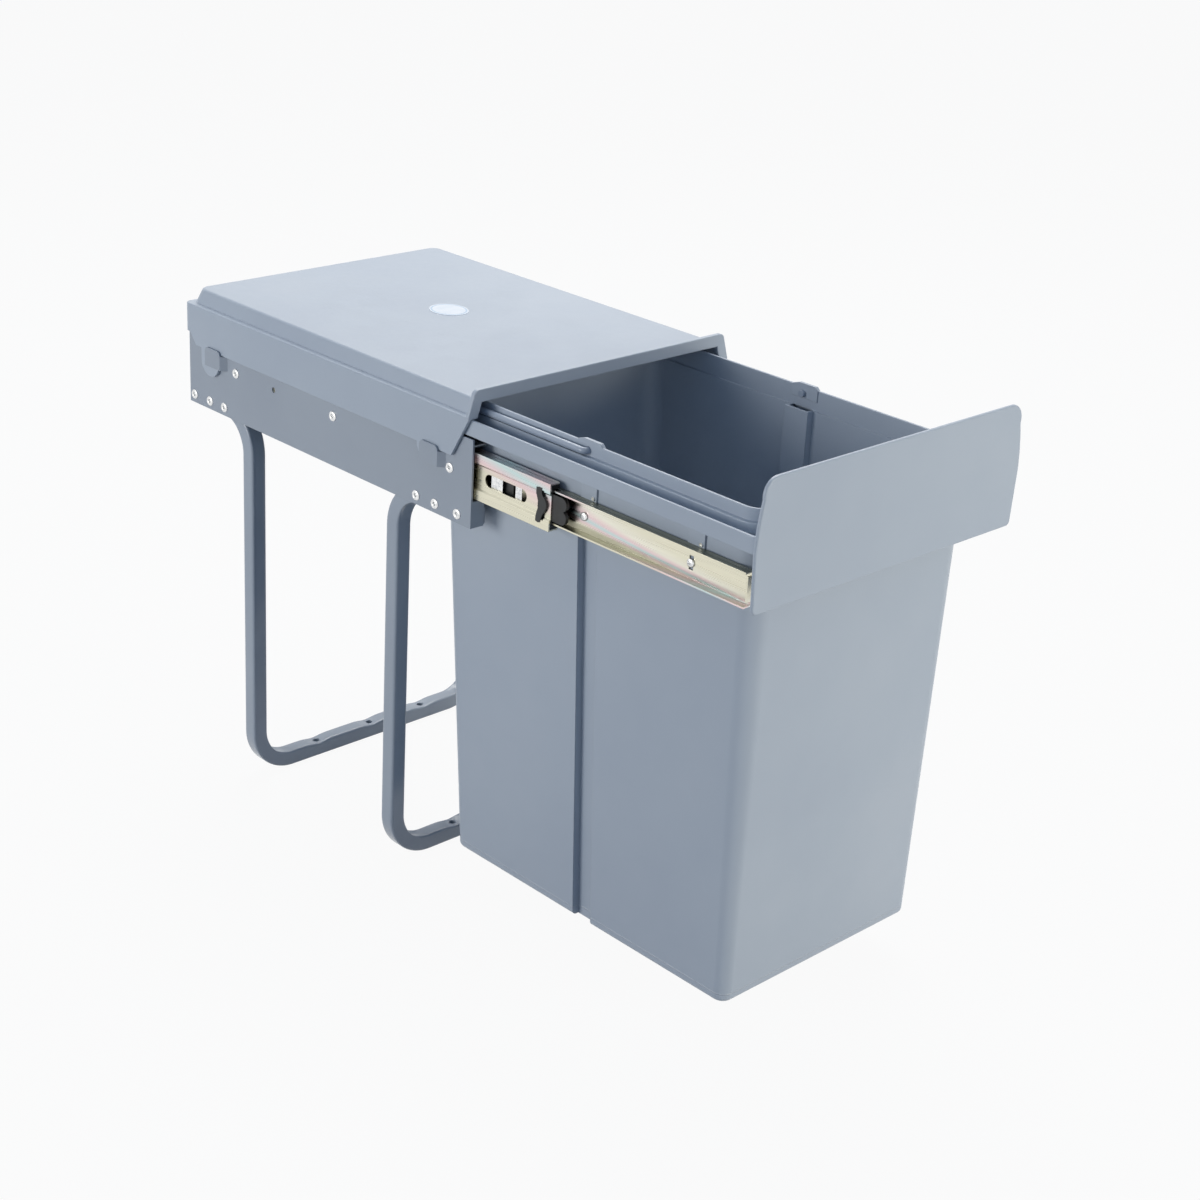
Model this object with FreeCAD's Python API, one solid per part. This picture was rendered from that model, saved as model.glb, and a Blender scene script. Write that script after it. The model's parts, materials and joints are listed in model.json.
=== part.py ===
import FreeCAD, Part
import math
import os

# Built-in waste bin: a steel frame on two bent tube legs carries a plastic cover
# and two ball-bearing slides, and the slides carry a ring with a front panel,
# a lift-out container and its wire bail.
# Millimetres. X runs to the right as seen from the front, Y to the back, Z up.
# The origin is on the floor, halfway between the two rows of bolt holes.
# The drawer stands partly open, as it is modelled.

V = FreeCAD.Vector
X_AXIS = V(1, 0, 0)
Y_AXIS = V(0, 1, 0)
Z_AXIS = V(0, 0, 1)

# How far a cutter runs past what it cuts
cut_over = 1.0

# Side plates
plate_span = 260.0
plate_t = 1.5
plate_bottom = 316.5
plate_height = 67.5
front_y = -183.5
tab_width = 12.5
tab_height = 20.2
spare_hole_y = 54.5
spare_hole_r = 2.25

# Bent tube legs
tube_size = 13.5
tube_wall = 1.2
tube_corner_r = 1.8
tube_lift = 0.25
bend_r = 34.0
row_half = 92.5
hole_pitch = 58.5
floor_hole_r = 2.75

# Rivets
rivet_head_r = 4.0
rivet_head_t = 1.2
rivet_r = 2.4
rivet_bore_r = 1.2
rivet_flare_r = 3.4
rivet_fit = 0.05
rear_rivets_y = (121.5, 141.5, 163.0)
front_rivets_y = (-122.0, -143.5, -168.5)
rail_rivets_y = (-159.0, -21.5, 105.0)

# Slides, measured across from the inner face of the side plate
rail_length = 350.0
rail_centre_z = 356.3
outer_half = 22.5
outer_t = 1.2
outer_depth = 12.2
outer_lip = 1.5
mid_half = 17.5
mid_t = 1.1
mid_band_gap = 0.6
mid_recess = 1.4
mid_band = 8.6
mid_jog = 1.5
mid_depth = 10.6
inner_half = 12.6
inner_t = 1.2
inner_gap = 0.6
slide_depth = 12.7
inner_length = 340.0
ball_gap = 3.8
ball_r = 1.95
groove_r = 2.1
cage_t = 0.8
cage_width = 5.4
cage_fit = 0.08
cage_end_gap = 3.75
balls_per_strip = 8
outer_cage_length = 150.0
inner_cage_length = 140.0

# Where the slides stand, from the closed drawer
mid_out = 79.5
drawer_out = 259.5
mid_reach = 175.0

# Slots and stops of the slides
slot_centre = 47.0
slot_length = 44.0
slot_half = 4.8
notch_centre = 8.5
notch_width = 5.0
notch_half = 11.0
notch_r = 6.0
bumper_half = 10.6
bumper_depth = 4.6
bumper_start = 2.5
bumper_end = 15.5
bumper_gap = 0.2
bumper_cheek_t = 3.2
bumper_cheek_end = 6.0
nose_reach = 14.3
nose_r = 5.2
nose_spread = 4.8
nose_depth = 2.7
rear_stop_length = 7.5
rear_stop_half = 14.0
rear_stop_gap = 0.5
end_tab_half = 9.0
end_tab_gap = 0.6
latch_offset = 223.5
latch_length = 15.0
latch_half = 8.0
latch_arm = 20.0
latch_arm_t = 2.4
latch_depth = 4.5

# Rail screws and the small rivets on the ring's pads
screw_offsets = (53.6, 155.5)
screw_head_r = 3.2
screw_head_t = 1.8
screw_r = 1.9
screw_fit = 0.05
screw_slot_half = 5.0
screw_tip = 1.0
pad_width = 15.0
pad_shift = 2.0
pad_rivet_r = 1.4
pad_rivet_t = 0.9
pad_rivet_z = 371.0

# Container
container_y = -281.0
container_depth = 359.4
container_wall = 2.0
base_half_x = 102.0
base_half_y = 144.8
base_shift = 10.9
base_corner_r = 9.0
base_edge_r = 4.0
neck_half_x = 110.5
neck_half_y = 159.5
neck_corner_r = 16.0
collar_out = 5.0
collar_t = 1.6
collar_height = 7.2
rim_step = 1.0
rim_height = 16.0
rim_edge_r = 0.6
ear_back = 11.5
ear_front = 14.0
ear_slope = 7.0
ear_nose = 2.5
ear_rise = 2.4
ear_t = 2.8
ear_hole_drop = 5.2
flute_width = 19.0
flute_depth = 6.0

# Wire bail
wire_r = 2.5
bail_fit = 0.1
bail_side_gap = 0.9
bail_pin_end = 3.5
bail_end_r = 3.2
bail_corner_r = 14.0
bail_rest_gap = 0.3

# Ring that carries the container
ring_gap_side = 0.3
ring_skirt_t = 2.2
ring_skirt = 12.0
ring_ledge_t = 1.7
ring_over_plate = 1.9
ring_edge_r = 0.7
ring_seat = 3.0
ring_seat_t = 3.2
ring_wall_t = 2.0
ring_pad = 1.3
ring_wall_bottom = 345.0
ring_clear = 2.0
ring_back = 16.2
ring_corner_r = 8.0
seat_gap = 0.1

# Front panel
panel_t = 3.0
panel_gap = 15.0
panel_bottom = 347.5
panel_top = 439.5
panel_half = 136.4
panel_foot_half = 134.6
panel_shoulder_half = 132.0
panel_crown_in = 12.0
panel_crown_bulge = 2.8
panel_widest_z = 390.0
panel_shoulder_z = 425.0
panel_foot_r = 4.0
panel_edge_r = 1.2
panel_screw_x = (-105.0, -35.0, 35.0, 105.0)
panel_screw_r = 1.6
panel_screw_head_r = 3.2
panel_screw_head_t = 1.6

# Cover
cover_t = 2.0
cover_top = 412.0
cover_half = 123.5
cover_back = 165.0
cover_flare = 4.0
cover_ledge = 400.3
cover_corner_r = 9.0
cover_edge_r = 2.5
ledge_edge_r = 1.0
skirt_gap = 0.4
skirt_t = 2.4
skirt_corner_r = 6.0
skirt_inner_r = 1.2
skirt_bottom = 367.3
skirt_back_bottom = 377.0
skirt_back_step = 160.0
skirt_cut_y = -163.0
cover_front = -181.0
rim_t = 4.0
rim_rise = 7.5
rim_bottom = 398.2
rim_inner_half = 124.0
rim_inner_crown = 120.4
rim_crown_half = 126.6
rim_corner_r = 5.0
rim_front_r = 0.8

# Straps of the side plates and tongues of the cover
strap_centres = (131.2, -139.7)
strap_flat = 20.5
strap_slope = 4.5
strap_bottom = 355.0
strap_height = 15.5
strap_corner_r = 4.0
strap_drop = 0.7
strap_clear = 0.3
tongue_centres = (136.9, -136.6)
tongue_width = 24.0
tongue_tips = (346.0, 357.0)

# Oval badge on the cover
badge_long = 33.6
badge_wide = 30.4
badge_t = 0.4
badge_x = 5.0
badge_y = 5.0

# Sizes that follow from the ones above
plate_out = plate_span / 2
plate_in = plate_out - plate_t
plate_top = plate_bottom + plate_height
rail_front = front_y + plate_t
rail_back = rail_front + rail_length
plate_back = rail_back + plate_t
tube_x = plate_in - tube_size / 2
tube_z = plate_bottom + tube_lift + tube_size / 2
mid_length = rail_length - rear_stop_length - rear_stop_gap
mid_front = rail_front - mid_out
inner_front = rail_front - 0.5 - drawer_out
ring_out = plate_out - ring_gap_side
ring_bottom = plate_top + ring_over_plate
ring_top = ring_bottom + ring_skirt
ledge_top = ring_bottom + ring_ledge_t
wall_out = plate_in - slide_depth - ring_pad
panel_back = inner_front - panel_gap + 0.2
skirt_in = plate_out + skirt_gap
skirt_out = skirt_in + skirt_t
neck_z = ledge_top + ring_seat + seat_gap
container_bottom = neck_z - container_depth
lip_z = neck_z + collar_height
rim_top = neck_z + rim_height
hole_z = rim_top - ear_hole_drop


def box(x0, x1, y0, y1, z0, z1):
    """A box between two corners."""
    return Part.makeBox(x1 - x0, y1 - y0, z1 - z0, V(x0, y0, z0))


def rod(r, length, start, axis):
    """A cylinder from a start point along an axis."""
    return Part.makeCylinder(r, length, start, axis)


def prism(points, push):
    """A solid from a closed polygon pushed along a vector."""
    wire = Part.makePolygon(points + [points[0]])
    return Part.Face(wire).extrude(push)


def mirrored(shape):
    """The same shape on the other side of the middle plane."""
    return shape.mirror(V(0, 0, 0), X_AXIS)


def both(shape):
    """The left shape and its mirror image."""
    return [shape, mirrored(shape)]


def group(shapes):
    """Several separate solids as one compound."""
    solids = []
    for shape in shapes:
        solids.extend(shape.Solids)
    return Part.makeCompound(solids)


def rounded_wire(half_x, y0, y1, r, z):
    """A rectangle with rounded corners in a level plane."""
    k = r * math.sqrt(0.5)
    x = half_x
    corners = [
        (V(x - r, y0 + r, z), V(x - r, y0, z), V(x - r + k, y0 + r - k, z), V(x, y0 + r, z)),
        (V(x - r, y1 - r, z), V(x, y1 - r, z), V(x - r + k, y1 - r + k, z), V(x - r, y1, z)),
        (V(r - x, y1 - r, z), V(r - x, y1, z), V(r - x - k, y1 - r + k, z), V(-x, y1 - r, z)),
        (V(r - x, y0 + r, z), V(-x, y0 + r, z), V(r - x - k, y0 + r - k, z), V(r - x, y0, z)),
    ]
    edges = []
    for i in range(4):
        middle, start, mid, end = corners[i]
        edges.append(Part.Arc(start, mid, end).toShape())
        edges.append(Part.LineSegment(end, corners[(i + 1) % 4][1]).toShape())
    return Part.Wire(edges)


def rounded_slab(half_x, y0, y1, r, z0, z1):
    """An upright block with rounded vertical edges."""
    return Part.Face(rounded_wire(half_x, y0, y1, r, z0)).extrude(V(0, 0, z1 - z0))


def tapered(low, high):
    """A solid between two rounded rectangles at two heights."""
    return Part.makeLoft([rounded_wire(*low), rounded_wire(*high)], True, True)


def top_edges(shape, z):
    """The edges of a shape that lie in one level plane."""
    found = []
    for edge in shape.Edges:
        if abs(edge.BoundBox.ZMin - z) < 0.01 and edge.BoundBox.ZLength < 0.01:
            found.append(edge)
    return found


def across(v):
    """X of a point of the left slide, at distance v from the plate's inner face."""
    return v - plate_in


def strip_z(half):
    """The two heights of a detail that repeats above and below the rail's centre."""
    return (rail_centre_z + half, rail_centre_z - half)


def square_face(centre, a, b, size, r):
    """A square with rounded corners, between two directions around a centre."""
    h = size / 2
    k = r * (1 - math.sqrt(0.5))
    edges = []
    for i in range(4):
        u, v = ((a, b), (b, a * -1), (a * -1, b * -1), (b * -1, a))[i]
        start = centre + u * h + v * (h - r)
        middle = centre + u * (h - k) + v * (h - k)
        end = centre + u * (h - r) + v * h
        edges.append(Part.Arc(start, middle, end).toShape())
        edges.append(Part.LineSegment(end, centre - u * (h - r) + v * h).toShape())
    return Part.Face(Part.Wire(edges))


def leg_run(row_y, arm_end, size, r):
    """One leg's path as a square bar: arm, bend, upright, bend, cross run, and back up."""
    s = 1 if arm_end > row_y else -1
    bend_y = row_y + s * bend_r
    low = tube_size / 2
    arm_face = square_face(V(-tube_x, bend_y, tube_z), X_AXIS, Z_AXIS, size, r)
    arm = arm_face.extrude(V(0, arm_end - bend_y, 0))
    top_bend = arm_face.revolve(V(0, bend_y, tube_z - bend_r), X_AXIS, s * 90)
    foot = square_face(V(-tube_x, row_y, low + bend_r), X_AXIS, Y_AXIS, size, r)
    upright = foot.extrude(V(0, 0, tube_z - low - 2 * bend_r))
    low_bend = foot.revolve(V(bend_r - tube_x, row_y, low + bend_r), Y_AXIS, -90)
    left = [arm, top_bend, upright, low_bend]
    right = [mirrored(piece) for piece in left]
    cross = square_face(V(bend_r - tube_x, row_y, low), Y_AXIS, Z_AXIS, size, r)
    cross = cross.extrude(V(2 * (tube_x - bend_r), 0, 0))
    return cross.multiFuse(left + right)


def leg(row_y, arm_end, rivets_y):
    """A bent square tube with its floor bolt holes and rivet holes."""
    outer = leg_run(row_y, arm_end, tube_size, tube_corner_r)
    inner = leg_run(row_y, arm_end, tube_size - 2 * tube_wall, tube_corner_r - tube_wall)
    shape = outer.cut(inner)
    for i in (-1, 0, 1):
        hole = rod(floor_hole_r, tube_size + 2, V(i * hole_pitch, row_y, -1), Z_AXIS)
        shape = shape.cut(hole)
    for y in rivets_y:
        hole = rod(rivet_r + rivet_fit, tube_wall + 1, V(-plate_in - 0.5, y, tube_z), X_AXIS)
        shape = shape.cut(hole)
        shape = shape.cut(mirrored(hole))
    return shape.removeSplitter()


def strap(centre):
    """The band of plate that is pushed outward to hold the cover's tongue, open at its back end."""
    reach = skirt_out - plate_out + strap_clear
    a = strap_flat / 2
    b = a + strap_slope
    inner = -plate_out
    points = [
        V(inner, centre - b - 2, strap_bottom),
        V(inner, centre - b, strap_bottom),
        V(inner - reach - plate_t, centre - a, strap_bottom),
        V(inner - reach - plate_t, centre + a, strap_bottom),
        V(inner - reach, centre + a, strap_bottom),
        V(inner - reach, centre - a + 1.0, strap_bottom),
        V(inner + plate_t, centre - b + 0.6, strap_bottom),
        V(inner + plate_t, centre - b - 2, strap_bottom),
    ]
    low = prism(points, V(0, 0, skirt_bottom - strap_drop - strap_bottom))
    band = box(inner - reach - plate_t, inner - reach, centre - a, centre + a,
               strap_bottom, strap_bottom + strap_height)
    corners = []
    for edge in band.Edges:
        if edge.BoundBox.XLength > plate_t - 0.01 and edge.BoundBox.ZMin > strap_bottom + 0.01:
            corners.append(edge)
    return low.fuse(band.makeFillet(strap_corner_r, corners))


def strap_window(centre):
    """The opening that the strap leaves in the plate."""
    a = strap_flat / 2
    low = box(-plate_out - 1, -plate_in + 1, centre - a - strap_slope, centre + a,
              strap_bottom, skirt_bottom - strap_drop)
    high = box(-plate_out - 1, -plate_in + 1, centre - a, centre + a,
               strap_bottom, strap_bottom + strap_height)
    return low.fuse(high)


def side_plate():
    """The left side plate with its end tabs, straps and holes."""
    shape = box(-plate_out, -plate_in, front_y, plate_back, plate_bottom, plate_top)
    tab_top = plate_bottom + tab_height
    for y in (front_y, plate_back - plate_t):
        tab = box(-plate_out, tab_width - plate_out, y, y + plate_t, plate_bottom, tab_top)
        shape = shape.fuse(tab)
    for centre in strap_centres:
        shape = shape.cut(strap_window(centre))
        shape = shape.fuse(strap(centre))
    for y in rear_rivets_y + front_rivets_y:
        hole = rod(rivet_r + rivet_fit, plate_t + 2, V(-plate_out - 1, y, tube_z), X_AXIS)
        shape = shape.cut(hole)
    for y in rail_rivets_y:
        hole = rod(rivet_r + rivet_fit, plate_t + 2, V(-plate_out - 1, y, rail_centre_z), X_AXIS)
        shape = shape.cut(hole)
    spare = rod(spare_hole_r, plate_t + 2, V(-plate_out - 1, spare_hole_y, rail_centre_z), X_AXIS)
    return shape.cut(spare).removeSplitter()


def rivet(y, z, grip):
    """A tubular rivet through the plate and the sheet behind it."""
    head = rod(rivet_head_r, rivet_head_t, V(-plate_out - rivet_head_t, y, z), X_AXIS)
    shank = rod(rivet_r, grip + rivet_head_t, V(-plate_out, y, z), X_AXIS)
    flare = rod(rivet_flare_r, rivet_head_t, V(-plate_out + grip, y, z), X_AXIS)
    bore = rod(rivet_bore_r, grip + 3 * rivet_head_t, V(-plate_out - 1.5 * rivet_head_t, y, z), X_AXIS)
    return head.fuse(shank).fuse(flare).cut(bore).removeSplitter()


def rail_bar(points, y0, length):
    """A rail from half of its section, mirrored about its centre height."""
    half = [V(across(v), y0, rail_centre_z + h) for v, h in points]
    other = [V(across(v), y0, rail_centre_z - h) for v, h in reversed(points)]
    return prism(half + other, V(0, length, 0))


def groove(v, centre_half, y0, length):
    """The two ball grooves at one distance from the centre, as cutters."""
    rods = []
    for z in strip_z(centre_half):
        rods.append(rod(groove_r, length, V(across(v), y0, z), Y_AXIS))
    return rods


outer_ball_half = mid_half + ball_gap / 2
inner_ball_half = inner_half + ball_gap / 2
outer_ball_v = (outer_t + outer_depth) / 2
mid_band_v = outer_t + mid_band_gap
mid_web_v = mid_band_v + mid_recess
inner_lip_v = mid_web_v + mid_t + inner_gap
inner_web_v = slide_depth - inner_t
inner_ball_v = (inner_lip_v + mid_depth) / 2


def outer_rail():
    """The fixed rail, a channel that opens towards the drawer."""
    points = [
        (0, 0),
        (0, outer_half),
        (outer_depth, outer_half),
        (outer_depth, outer_half - outer_t - outer_lip),
        (outer_depth - outer_t, outer_half - outer_t - outer_lip),
        (outer_depth - outer_t, outer_half - outer_t),
        (outer_t, outer_half - outer_t),
        (outer_t, 0),
    ]
    shape = rail_bar(points, rail_front, rail_length)
    for cutter in groove(outer_ball_v, outer_ball_half, rail_front, rail_length):
        shape = shape.cut(cutter)
    for y in rail_rivets_y:
        hole = rod(rivet_r + rivet_fit, outer_t + 2, V(across(-1), y, rail_centre_z), X_AXIS)
        shape = shape.cut(hole)
    return shape.removeSplitter()


def mid_slot():
    """The long slot of the middle rail, with round ends."""
    y = mid_front + slot_centre
    reach = slot_length / 2 - slot_half
    shape = box(across(0), across(slide_depth), y - reach, y + reach,
                rail_centre_z - slot_half, rail_centre_z + slot_half)
    for side in (-1, 1):
        end = rod(slot_half, slide_depth, V(across(0), y + side * reach, rail_centre_z), X_AXIS)
        shape = shape.fuse(end)
    return shape


def mid_notch():
    """The waisted cut-out near the front end of the middle rail."""
    y = mid_front + notch_centre
    depth = mid_web_v + mid_t + 0.5
    bar = box(across(0), across(depth), y - notch_width / 2, y + notch_width / 2,
              rail_centre_z - notch_half, rail_centre_z + notch_half)
    eye = rod(notch_r, depth, V(across(0), y, rail_centre_z), X_AXIS)
    limit = box(across(0), across(depth), y - notch_width, y + notch_width,
                rail_centre_z - notch_half, rail_centre_z + notch_half)
    return bar.fuse(eye.common(limit))


def mid_rail():
    """The middle rail: two outer bands, a recessed web and two flanges."""
    points = [
        (mid_web_v, 0),
        (mid_web_v, mid_band),
        (mid_band_v, mid_band + mid_jog),
        (mid_band_v, mid_half),
        (mid_depth, mid_half),
        (mid_depth, mid_half - mid_t),
        (mid_band_v + mid_t, mid_half - mid_t),
        (mid_band_v + mid_t, mid_band + mid_jog + mid_t / 2),
        (mid_web_v + mid_t, mid_band + mid_t / 2),
        (mid_web_v + mid_t, 0),
    ]
    shape = rail_bar(points, mid_front, mid_length)
    cutters = groove(outer_ball_v, outer_ball_half, mid_front, mid_length)
    cutters += groove(inner_ball_v, inner_ball_half, mid_front, mid_length)
    cutters += [mid_slot(), mid_notch()]
    for cutter in cutters:
        shape = shape.cut(cutter)
    return shape.removeSplitter()


def mid_bumper():
    """The black bumper in the front end of the middle rail, with its lobed nose."""
    web = mid_web_v + mid_t
    band = mid_band_v + mid_t
    top = mid_half - mid_t
    cheek = top - bumper_cheek_t
    lip = inner_lip_v - bumper_gap
    y0 = mid_front + bumper_start
    core = box(across(web), across(web + bumper_depth), y0, mid_front + bumper_end,
               rail_centre_z - bumper_half, rail_centre_z + bumper_half)
    points = [
        (web, 0),
        (web, mid_band + 0.6),
        (band, mid_band + mid_jog + 0.8),
        (band, top),
        (mid_depth - bumper_gap, top),
        (mid_depth - bumper_gap, cheek),
        (lip, cheek),
        (lip, 0),
    ]
    cheeks = rail_bar(points, mid_front, bumper_cheek_end)
    plug = mid_notch()
    keep = box(across(mid_web_v + 0.2), across(web), y0, mid_front + bumper_end,
               rail_centre_z - mid_band, rail_centre_z + mid_band)
    shape = core.fuse(cheeks).fuse(plug.common(keep))
    end = mid_front - nose_reach + nose_r
    for z in strip_z(nose_spread):
        lobe = rod(nose_r, nose_depth, V(across(web), end, z), X_AXIS)
        neck = box(across(web), across(web + nose_depth), end, y0 + 1, z - nose_r, z + nose_r)
        shape = shape.fuse(lobe).fuse(neck)
    return shape.removeSplitter()


def rear_stop():
    """The rubber block that stops the middle rail at the back."""
    return box(across(outer_t), across(mid_depth), rail_back - rear_stop_length, rail_back,
               rail_centre_z - rear_stop_half, rail_centre_z + rear_stop_half)


def inner_rail():
    """The drawer's rail, a channel that opens towards the plate."""
    points = [
        (slide_depth, 0),
        (slide_depth, inner_half),
        (inner_lip_v, inner_half),
        (inner_lip_v, inner_half - inner_t),
        (inner_web_v, inner_half - inner_t),
        (inner_web_v, 0),
    ]
    shape = rail_bar(points, inner_front, inner_length)
    for cutter in groove(inner_ball_v, inner_ball_half, inner_front, inner_length):
        shape = shape.cut(cutter)
    tab_v = mid_web_v + mid_t + nose_depth + end_tab_gap
    tab = box(across(tab_v), across(inner_web_v), inner_front, inner_front + inner_t,
              rail_centre_z - end_tab_half, rail_centre_z + end_tab_half)
    shape = shape.fuse(tab)
    first, second = [inner_front + offset for offset in reversed(screw_offsets)]
    hole_start = V(across(inner_web_v - 1), first, rail_centre_z)
    shape = shape.cut(rod(screw_r + screw_fit, inner_t + 2, hole_start, X_AXIS))
    slot = box(across(inner_web_v - 1), across(slide_depth + 1),
               second - screw_r - screw_fit, second + screw_r + screw_fit,
               rail_centre_z - screw_slot_half, rail_centre_z + screw_slot_half)
    return shape.cut(slot).removeSplitter()


def latch():
    """The black release latch inside the drawer's rail."""
    y = inner_front + latch_offset
    v = inner_web_v - latch_depth
    block = box(across(v), across(inner_web_v), y, y + latch_length,
                rail_centre_z - latch_half, rail_centre_z + latch_half)
    arm = box(across(v), across(inner_web_v), y - latch_arm, y,
              rail_centre_z + latch_half - latch_arm_t, rail_centre_z + latch_half)
    return block.fuse(arm).removeSplitter()


def rail_screw(y):
    """A pan-head screw through the drawer's rail into the ring."""
    start = across(inner_web_v - screw_head_t)
    tip = -wall_out + ring_wall_t + screw_tip
    head = rod(screw_head_r, screw_head_t, V(start, y, rail_centre_z), X_AXIS)
    shank = rod(screw_r, tip - start, V(start, y, rail_centre_z), X_AXIS)
    return head.fuse(shank).removeSplitter()


def pad_rivet(y):
    """A small rivet on the ring's pad, just above the drawer's rail."""
    start = -wall_out - ring_pad - pad_rivet_t
    tip = -wall_out + ring_wall_t
    head = rod(pad_rivet_r, pad_rivet_t, V(start, y, pad_rivet_z), X_AXIS)
    shank = rod(pad_rivet_r / 2, tip - start, V(start, y, pad_rivet_z), X_AXIS)
    return head.fuse(shank).removeSplitter()


def pad_centre(offset):
    """The middle of the ring's pad around a rail screw."""
    return inner_front + offset - pad_shift


def pad_rivet_y(offset):
    """Where the small rivet stands near the pad's front edge."""
    return pad_centre(offset) - pad_width / 2 + 2 * pad_rivet_r


def strip_balls(v, half, centre, length):
    """Centres of the balls in the upper and lower strip of one cage."""
    step = length / balls_per_strip
    places = []
    for z in strip_z(half):
        for i in range(balls_per_strip):
            y = centre - length / 2 + (i + 0.5) * step
            places.append(V(across(v), y, z))
    return places


def cage(v, half, centre, length):
    """Two perforated strips that space the balls of one slide."""
    strips = []
    for z in strip_z(half):
        strip = box(across(v - cage_width / 2), across(v + cage_width / 2),
                    centre - length / 2, centre + length / 2, z - cage_t / 2, z + cage_t / 2)
        for place in strip_balls(v, half, centre, length):
            if abs(place.z - z) < cage_t:
                hole = rod(ball_r + cage_fit, 2 * cage_t, place - V(0, 0, cage_t), Z_AXIS)
                strip = strip.cut(hole)
        strips.append(strip)
    return group(strips)


def balls(v, half, centre, length):
    """The balls of one cage."""
    return group([Part.makeSphere(ball_r, place) for place in strip_balls(v, half, centre, length)])


def container_half_x(z):
    """Half of the container's outer width at a height below its neck."""
    share = (z - container_bottom) / container_depth
    return base_half_x + share * (neck_half_x - base_half_x)


def container_middle(z):
    """The container's middle along Y at a height: its foot stands forward of its neck."""
    share = (z - container_bottom) / container_depth
    return container_y - (1 - share) * base_shift


def container_block(inset, floor, top):
    """The container's tapered body, drawn in by an inset and cut at two heights."""
    base_y = container_y - base_shift
    low = (base_half_x - inset, base_y - base_half_y + inset,
           base_y + base_half_y - inset, base_corner_r - inset, container_bottom)
    high = (neck_half_x - inset, container_y - neck_half_y + inset,
            container_y + neck_half_y - inset, neck_corner_r - inset, neck_z)
    shape = tapered(low, high)
    keep = box(-plate_out, plate_out, container_y - plate_span, container_y + plate_span, floor, top)
    return shape.common(keep)


def round_floor(shape, floor, r):
    """Round the edges around a tapered body's floor."""
    return shape.makeFillet(r, top_edges(shape, floor))


def flute(wall):
    """The upright flute in the container's left side, as a cutter that follows the taper."""
    half = flute_width / 2 + wall
    ends = []
    for z in (container_bottom - 1, neck_z + 1):
        x0 = -container_half_x(z) - 5
        x1 = flute_depth + wall - container_half_x(z)
        y = container_middle(z)
        corners = [V(x0, y - half, z), V(x1, y - half, z), V(x1, y + half, z), V(x0, y + half, z)]
        ends.append(Part.makePolygon(corners + corners[:1]))
    return Part.makeLoft(ends, True, True)


def ear(side):
    """The raised ear of the rim that holds one end of the bail."""
    x = side * (neck_half_x + rim_step)
    back = container_y + ear_back
    front = container_y - ear_front
    top = rim_top + ear_rise
    points = [
        V(x, back, lip_z),
        V(x, back, rim_top),
        V(x, back - ear_slope, top),
        V(x, front + ear_nose, top),
        V(x, front, rim_top),
        V(x, front, lip_z),
    ]
    return prism(points, V(-side * ear_t, 0, 0))


def container():
    """The lift-out container with its collar, ears and flutes."""
    t = container_wall
    outer = round_floor(container_block(0, container_bottom, neck_z), container_bottom, base_edge_r)
    for cutter in both(flute(0)):
        outer = outer.cut(cutter)
    y0 = container_y - neck_half_y
    y1 = container_y + neck_half_y
    s = rim_step
    upper = rounded_slab(neck_half_x + s, y0 - s, y1 + s, neck_corner_r + s, neck_z, rim_top)
    c = collar_out
    collar = rounded_slab(neck_half_x + c, y0 - c, y1 + c, neck_corner_r + c, neck_z, lip_z)
    c = collar_out - collar_t
    hollow = rounded_slab(neck_half_x + c, y0 - c, y1 + c, neck_corner_r + c, neck_z, lip_z - collar_t)
    shape = outer.fuse(upper).fuse(collar.cut(hollow.cut(upper)))
    inner = round_floor(container_block(t, container_bottom, neck_z), container_bottom, base_edge_r - t)
    inner.translate(V(0, 0, t))
    for cutter in both(flute(t)):
        inner = inner.cut(cutter)
    s = rim_step - t
    mouth = rounded_slab(neck_half_x + s, y0 - s, y1 + s, neck_corner_r + s, neck_z, rim_top + 1)
    shape = shape.cut(inner).cut(mouth)
    shape = shape.makeFillet(rim_edge_r, top_edges(shape, rim_top) + top_edges(shape, lip_z))
    for side in (-1, 1):
        shape = shape.fuse(ear(side))
    hole = rod(wire_r + bail_fit, 2 * plate_span, V(-plate_span, container_y, hole_z), X_AXIS)
    return shape.cut(hole).removeSplitter()


def wire_path(points, radii):
    """A line with tangent arcs at its inner corners."""
    edges = []
    start = points[0]
    for i in range(1, len(points) - 1):
        before = (points[i - 1] - points[i]).normalize()
        after = (points[i + 1] - points[i]).normalize()
        r = radii[i - 1]
        a = points[i] + before * r
        b = points[i] + after * r
        middle = points[i] + (before + after) * (r * (1 - math.sqrt(0.5)))
        edges.append(Part.LineSegment(start, a).toShape())
        edges.append(Part.Arc(a, middle, b).toShape())
        start = b
    edges.append(Part.LineSegment(start, points[-1]).toShape())
    return Part.Wire(edges)


def bail():
    """The wire bail, folded back on the container's collar."""
    x = neck_half_x + rim_step + bail_side_gap + wire_r
    pin = neck_half_x + rim_step - container_wall - bail_pin_end
    back = neck_half_y + rim_step + bail_side_gap + wire_r
    points = [V(-pin, 0, 0), V(-x, 0, 0), V(-x, back, 0), V(x, back, 0), V(x, 0, 0), V(pin, 0, 0)]
    radii = [bail_end_r, bail_corner_r, bail_corner_r, bail_end_r]
    path = wire_path(points, radii)
    circle = Part.Wire(Part.makeCircle(wire_r, points[0], X_AXIS))
    shape = path.makePipeShell([circle], True, False)
    drop = hole_z - lip_z - wire_r - bail_rest_gap
    shape.rotate(V(0, 0, 0), X_AXIS, -math.degrees(math.asin(drop / back)))
    shape.translate(V(0, container_y, hole_z))
    return shape


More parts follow.
